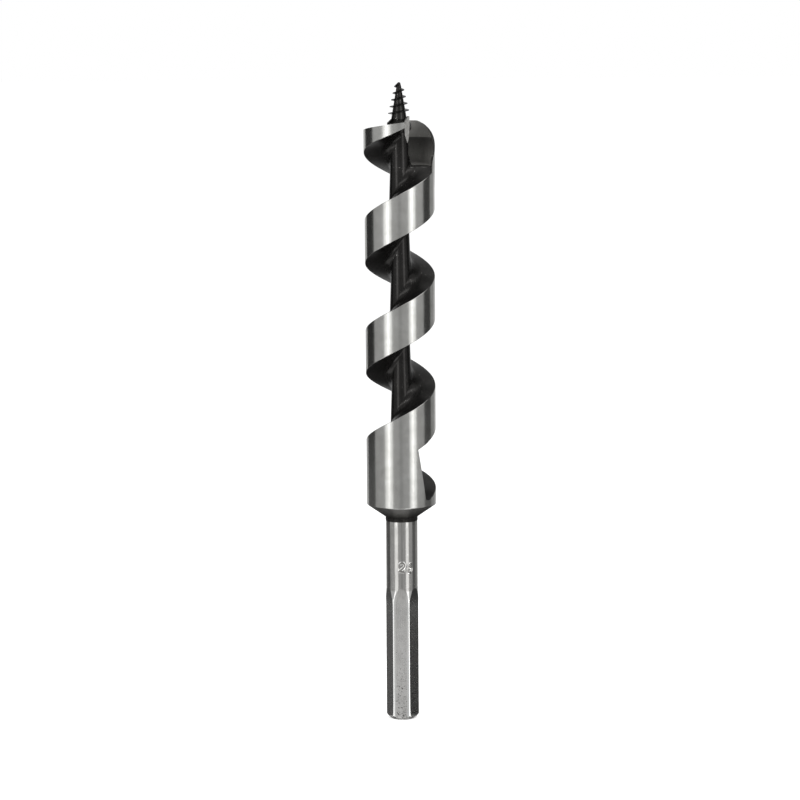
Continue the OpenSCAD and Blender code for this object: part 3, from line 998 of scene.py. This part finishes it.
def hex_shank(drawn):
    """Hex bar with rounded corners; its flats run out in an arc into the turned neck"""
    shank_r = HEX_CORNER_D / 2
    flat_r = HEX_AF / 2
    run_end = HEX_LEN + FLAT_RUNOUT
    arc_r = (FLAT_RUNOUT**2 + (shank_r - flat_r) ** 2) / (2 * (shank_r - flat_r))
    taper_z = HEX_LEN + FLAT_RUNOUT / 3

    def hex_radius(radius, turn, height):
        if height > run_end or radius < flat_r - END_CHAMFER:
            return radius
        along = max(0, height - HEX_LEN)
        flat = flat_r + arc_r - math.sqrt(arc_r**2 - along**2)
        ease = smooth(along / FLAT_RUNOUT)
        edge = hex_edge(turn, flat, HEX_CORNER_R + ease)
        soft = soft_min(radius, edge, HEX_BLEND + RUNOUT_BLEND * ease)
        fade = smooth((run_end - height) / RUNOUT_FADE)
        return radius + (soft - radius) * fade

    crown_r = math.sqrt(shank_r**2 + (shank_r - END_CHAMFER) ** 2)
    outline = [(0, 0)]
    outline += [(math.sqrt(crown_r**2 - (z - shank_r) ** 2), z) for z in steps(0, END_CHAMFER, CROWN_RINGS)]
    outline += [(shank_r, z) for z in steps(END_CHAMFER + RING_GAP, HEX_LEN, CROWN_RINGS)]
    outline += [(shank_r, z) for z in steps(HEX_LEN + RUNOUT_GAP, taper_z, SHANK_RINGS)]
    for z in steps(taper_z + RUNOUT_GAP, run_end, 2 * SHANK_RINGS):
        share = smooth((z - taper_z) / (run_end - taper_z))
        outline.append((shank_r + (NECK_R - shank_r) * share, z))
    outline += [(NECK_R, z) for z in steps(run_end + RING_GAP, SHANK_LEN - RUNOUT_GAP, SHANK_RINGS)]
    outline += [
        (NECK_R - NECK_EDGE, SHANK_LEN),
        (SOCKET_R, SEAM_MID_Z - GROOVE_W / 2),
        (SOCKET_R, SHANK_LEN - TANG_LEN),
        (0, SHANK_LEN - TANG_LEN),
    ]
    shank = turned("hex_shank", outline, SHANK_SIDES, hex_radius)
    strike_size(shank)
    shank.data.materials.clear()
    shank.data.materials.append(drawn)
    finished(shank, "shank", sharp=25)


def curve_points(centre, radii, start, end, count):
    """Points on part of an ellipse, by turn in degrees"""
    turns = [math.radians(t) for t in steps(start, end, count)]
    return [(centre[0] + radii[0] * math.cos(t), centre[1] + radii[1] * math.sin(t)) for t in turns]


def figure_strokes():
    """Centre lines of a 2 and a 6 that are one unit high, in the order in which they are struck"""
    top = curve_points((0.3, 0.7), (0.3, 0.3), 165, -35, 12)
    two = [*top, (0.3, 0.28), (0.03, 0.0)]
    foot = [(-0.02, 0.0), (0.3, 0.0), (0.62, 0.0)]
    tail = curve_points((1.5, 0.3), (0.6, 0.72), 96, 186, 12)
    bowl = curve_points((1.2, 0.29), (0.29, 0.29), 186, 532, 24)
    return [two, foot, tail, bowl]


def struck_stroke(line, section):
    """One stroke wrapped round the neck; its section is a list of (width, height above the neck)"""
    sides = [(-width, level) for width, level in section]
    sides += [(width, level) for width, level in reversed(section)]
    crook = math.radians(STAMP_CROOK)
    middle = (0.75, 0.5)
    rings = []
    for i, point in enumerate(line):
        before = line[max(0, i - 1)]
        after = line[min(len(line) - 1, i + 1)]
        along = (Vector(after) - Vector(before)).normalized()
        ring = []
        for width, level in sides:
            u = (point[0] - middle[0]) * STAMP_H - along.y * width / 2
            v = (point[1] - middle[1]) * STAMP_H + along.x * width / 2
            across = u * math.cos(crook) - v * math.sin(crook) + STAMP_ACROSS
            up = u * math.sin(crook) + v * math.cos(crook)
            turn = across / NECK_R + math.radians(FRONT)
            radius = NECK_R + level
            ring.append((radius * math.cos(turn), radius * math.sin(turn), STAMP_Z + up))
        rings.append(ring)
    return ring_solid("stroke", rings)


def strike_size(shank):
    """The bit's size in plain figures, struck a little crooked: V-shaped strokes with rounded rims"""
    rim = [(STAMP_STROKE + 2 * STAMP_RIM, -STAMP_BURR)]
    for t in steps(0, 1, 4):
        rim.append((STAMP_STROKE + 2 * STAMP_RIM * (1 - t), STAMP_BURR * math.sin(t * math.pi / 2)))
    for line in figure_strokes():
        combine(shank, struck_stroke(line, rim), "UNION")
    flare = (STAMP_STROKE - STAMP_ROOT) / (STAMP_DEPTH + STAMP_BURR)
    groove = [(STAMP_ROOT, -STAMP_DEPTH), (STAMP_STROKE + flare * STAMP_BURR, 2 * STAMP_BURR)]
    for line in figure_strokes():
        combine(shank, struck_stroke(line, groove), "DIFFERENCE")


def braze_seam(braze):
    """Filler metal that ran round the joint: a low uneven bead and the film round the tang"""

    def uneven(radius, turn, height):
        if radius < NECK_R - SEAM_EDGE / 2:
            return radius
        angle = math.radians(turn)
        round_x = math.cos(angle) * LUMPS_ROUND
        round_y = math.sin(angle) * LUMPS_ROUND
        place = Vector((round_x, round_y, height * LUMPS_UP))
        lump = BEAD_LUMP * noise.noise(place) + BEAD_GRIT * noise.noise(place * GRIT_FINER)
        return min(NECK_R + SEAM_BULGE, radius + lump)

    outline = [
        (TANG_R, SHANK_LEN - TANG_LEN),
        (SOCKET_R, SHANK_LEN - TANG_LEN),
        (SOCKET_R, SEAM_MID_Z - GROOVE_W / 2),
        (NECK_R - NECK_EDGE, SHANK_LEN),
    ]
    for share in steps(0.05, 0.95, BEAD_RINGS):
        bulge = SEAM_BULGE * 0.6 * math.sin(math.pi * share)
        outline.append((NECK_R + bulge, SHANK_LEN + SEAM_W * share))
    outline += [(NECK_R - SEAM_EDGE, SEAM_Z), (TANG_R, SEAM_MID_Z + GROOVE_W / 2)]
    rings = []
    for turn in steps(0, 360, SHANK_SIDES)[:-1]:
        angle = math.radians(turn + FRONT)
        ring = []
        for radius, z in outline:
            r = uneven(radius, turn, z)
            ring.append((r * math.cos(angle), r * math.sin(angle), z))
        rings.append(ring)
    n = len(outline)
    points = [p for ring in rings for p in ring]
    faces = []
    for i in range(len(rings)):
        k = (i + 1) % len(rings)
        faces += [(i * n + j, k * n + j, k * n + (j + 1) % n, i * n + (j + 1) % n) for j in range(n)]
    seam = solid("braze_seam", points, faces)
    seam.data.materials.append(braze)
    finished(seam, "braze_ring", sharp=50)


# Studio

CAMERA_DISTANCE = 993.9
CAMERA_RISE = 7.42
AIM_Z = 119.11
FOCAL_PX = 2708.9
PHOTO_PX = 800
AXIS_PX = 400.87
ROLL = -0.381
SENSOR = 36

WORLD_LIGHT = 0.8
LAMP_DISTANCE = 0.9
FLOOR_REACH = 20
FLOOR_GLOW = 0.42

# Profiles of the cards round the bit, as (radius, height) in metres
CARD_FOOT = 0.0001
LOW_TOP = 0.011
TENT_R = 0.17
TENT_TOP = 0.6
TUBE_R = 0.168
TUBE_FOOT = 0.055
FOOT_INNER_R = 0.003
FOOT_R = 0.0061
FOOT_OUTER_R = 0.0075
WALL = [(TENT_R, LOW_TOP), (TENT_R, TENT_TOP)]
LOW_WALL = [(FOOT_OUTER_R, CARD_FOOT), (TENT_R, CARD_FOOT), (TENT_R, LOW_TOP)]
TUBE = [(TUBE_R, TUBE_FOOT), (TUBE_R, TENT_TOP)]
FOOT_INNER = [(FOOT_INNER_R, CARD_FOOT), (FOOT_R, CARD_FOOT)]
FOOT_OUTER = [(FOOT_R, CARD_FOOT), (FOOT_OUTER_R, CARD_FOOT)]

# Each card: its name, the azimuths where it starts and ends, its brightness and its profile
CARDS = [
    ("front_left", -27.5, -6, 0.41, WALL),
    ("front_middle", -6, 5, 0.31, WALL),
    ("front_right", 5, 23, 0.4, WALL),
    ("front_edge", 23, 28, 0.33, WALL),
    ("strip_left", -52.5, -27.5, 1.18, WALL),
    ("grey_left", -93, -52.5, 0.4, WALL),
    ("dark_left", -138, -93, 0.03, WALL),
    ("back_left", -175, -138, 0.55, WALL),
    ("strip_right", 28, 50, 1.2, WALL),
    ("grey_right", 50, 81, 0.4, WALL),
    ("dark_right", 81, 114, 0.05, WALL),
    ("grey_back", 114, 142, 0.3, WALL),
    ("back_right", 142, 185, 0.6, WALL),
    ("tube_left", -42, -36, 2.1, TUBE),
    ("tube_right", 35.5, 40.5, 2.1, TUBE),
    ("low_front", -27.5, 28, 0.53, LOW_WALL),
    ("low_strip_left", -75, -27.5, 1.15, LOW_WALL),
    ("low_left", -175, -75, 0.1, LOW_WALL),
    ("low_strip_right", 28, 60, 1.9, LOW_WALL),
    ("low_right", 60, 185, 0.05, LOW_WALL),
    ("foot_front", -32, 30, 0.45, FOOT_INNER),
    ("foot_sides", 30, 328, 0.2, FOOT_INNER),
    ("foot_line", -180, 180, 0.9, FOOT_OUTER),
]
CARD_STEPS = 12

# A card's share of its brightness low down and high up
LOW_Z = 0.05
HIGH_Z = 0.2
LOW_SHARE = 0.92
HIGH_SHARE = 1.06

# The dark cards are brighter by this much low down, where the neck and the barrel see them
DARK_CARDS = ("dark_left", "dark_right")
LOW_EXTRA = 0.08
EXTRA_FROM = 0.052
EXTRA_TO = 0.105


def photo_camera():
    """The camera as fitted to the photograph: long lens, a little above the bit, slightly rolled"""
    data = bpy.data.cameras.new("photo_camera")
    data.sensor_width = SENSOR
    data.lens = FOCAL_PX * SENSOR / PHOTO_PX
    data.shift_x = -(AXIS_PX - PHOTO_PX / 2) / PHOTO_PX
    data.clip_start = 0.05
    data.clip_end = 50
    camera = bpy.data.objects.new("photo_camera", data)
    scene.collection.objects.link(camera)
    rise = math.radians(CAMERA_RISE)
    back = Vector((0, -math.cos(rise), math.sin(rise)))
    camera.location = (Vector((0, 0, AIM_Z)) + back * CAMERA_DISTANCE) * MM
    camera.rotation_mode = "QUATERNION"
    facing = (-back).to_track_quat("-Z", "Y")
    camera.rotation_quaternion = facing @ Matrix.Rotation(math.radians(ROLL), 3, "Z").to_quaternion()
    scene.camera = camera


def background_share(tree):
    """1 where the camera, a reflection or a refraction looks at the background, otherwise 0"""
    path = put(tree, "ShaderNodeLightPath").node.outputs
    seen = put(tree, MATH, [path["Is Camera Ray"], path["Is Glossy Ray"]], operation="MAXIMUM")
    return put(tree, MATH, [seen, path["Is Transmission Ray"]], operation="MAXIMUM")


def white_world():
    """White behind everything, and an even pale light from all round"""
    world = bpy.data.worlds.new("white_studio")
    world.use_nodes = True
    tree = world.node_tree
    tree.nodes.clear()
    level = put(tree, MAP_RANGE, [background_share(tree), 0, 1, WORLD_LIGHT, 1])
    sky = put(tree, "ShaderNodeBackground", {"Color": (1, 1, 1, 1), "Strength": level})
    put(tree, "ShaderNodeOutputWorld", {"Surface": sky})
    scene.world = world


def studio_mesh(name, points, faces, material):
    mesh = bpy.data.meshes.new(name)
    mesh.from_pydata(points, [], faces)
    mesh.materials.append(material)
    piece = bpy.data.objects.new(name, mesh)
    scene.collection.objects.link(piece)
    return piece


def pale_floor():
    """White card under the bit: it keeps the bit's shadow and shows as white to the camera"""
    material, tree = empty_material("white card")
    card = put(tree, "ShaderNodeBsdfDiffuse", {"Color": linear("#E6E6E6")})
    level = put(tree, MATH, [background_share(tree), FLOOR_GLOW], operation="MULTIPLY")
    glow = put(tree, "ShaderNodeEmission", {"Color": (1, 1, 1, 1), "Strength": level})
    both = put(tree, "ShaderNodeAddShader", [card, glow])
    put(tree, "ShaderNodeOutputMaterial", {"Surface": both})
    corners = [(-1, -1), (1, -1), (1, 1), (-1, 1)]
    points = [(x * FLOOR_REACH, y * FLOOR_REACH, 0) for x, y in corners]
    floor = studio_mesh("floor", points, [(0, 1, 2, 3)], material)


def reflector(name, start, end, brightness, profile):
    """A curved card round the bit that only reflections see, a little brighter towards its top.

    Azimuths count from the camera towards +X.
    """
    material, tree = empty_material(name)
    place = put(tree, "ShaderNodeTexCoord").node.outputs["Object"]
    height = put(tree, "ShaderNodeSeparateXYZ", [place]).node.outputs["Z"]
    level = put(tree, MAP_RANGE, [height, LOW_Z, HIGH_Z, LOW_SHARE * brightness, HIGH_SHARE * brightness])
    if name in DARK_CARDS:
        extra = put(tree, MAP_RANGE, [height, EXTRA_FROM, EXTRA_TO, LOW_EXTRA, 0])
        level = put(tree, MATH, [level, extra], operation="ADD")
    glow = put(tree, "ShaderNodeEmission", {"Color": (1, 1, 1, 1), "Strength": level})
    put(tree, "ShaderNodeOutputMaterial", {"Surface": glow})

    turns = [math.radians(azimuth + FRONT) for azimuth in steps(start, end, CARD_STEPS)]
    points = [(r * math.cos(t), r * math.sin(t), z) for r, z in profile for t in turns]
    n = len(turns)
    faces = []
    for row in range(len(profile) - 1):
        low = row * n
        faces += [(low + i, low + i + 1, low + n + i + 1, low + n + i) for i in range(n - 1)]
    card = studio_mesh(name, points, faces, material)
    card.visible_camera = False
    card.visible_diffuse = False
    card.visible_transmission = False
    card.visible_shadow = False


def soft_box(name, azimuth, rise, size, power):
    """A soft lamp that faces the middle of the bit; reflections see the cards in its place"""
    data = bpy.data.lights.new(name, "AREA")
    data.shape = "RECTANGLE"
    data.size = size[0]
    data.size_y = size[1]
    data.energy = power
    lamp = bpy.data.objects.new(name, data)
    scene.collection.objects.link(lamp)
    a = math.radians(azimuth + FRONT)
    e = math.radians(rise)
    back = Vector((math.cos(a) * math.cos(e), math.sin(a) * math.cos(e), math.sin(e)))
    middle = Vector((0, 0, AIM_Z * MM))
    lamp.location = middle + back * LAMP_DISTANCE
    lamp.rotation_mode = "QUATERNION"
    lamp.rotation_quaternion = (-back).to_track_quat("-Z", "Y")
    lamp.visible_glossy = False


def studio():
    """A light tent of cards round the bit, and three soft lamps.

    The tall walls are what the twist and the neck reflect: two bright strips in front, each with a
    brighter tube before it, grey cloth between them and dark gaps at the sides. Below them the low
    walls stand for the hex part and go on over the floor, and the end's chamfer sees the rings round
    the foot.
    """
    white_world()
    pale_floor()
    for name, start, end, brightness, profile in CARDS:
        reflector(name, start, end, brightness, profile)
    soft_box("soft_left", -42, 15, (0.35, 0.9), 5)
    soft_box("soft_right", 41, 15, (0.35, 0.9), 4)
    soft_box("soft_top", 0, 80, (0.8, 0.8), 4)


def main():
    scene.view_settings.view_transform = "Standard"
    photo_camera()
    studio()
    auger_body(winding_tree(), ground_steel(), flute_oxide(), filed_steel(), throat_oxide())
    lead_screw(screw_oxide())
    hex_shank(drawn_steel())
    braze_seam(braze_metal())


main()
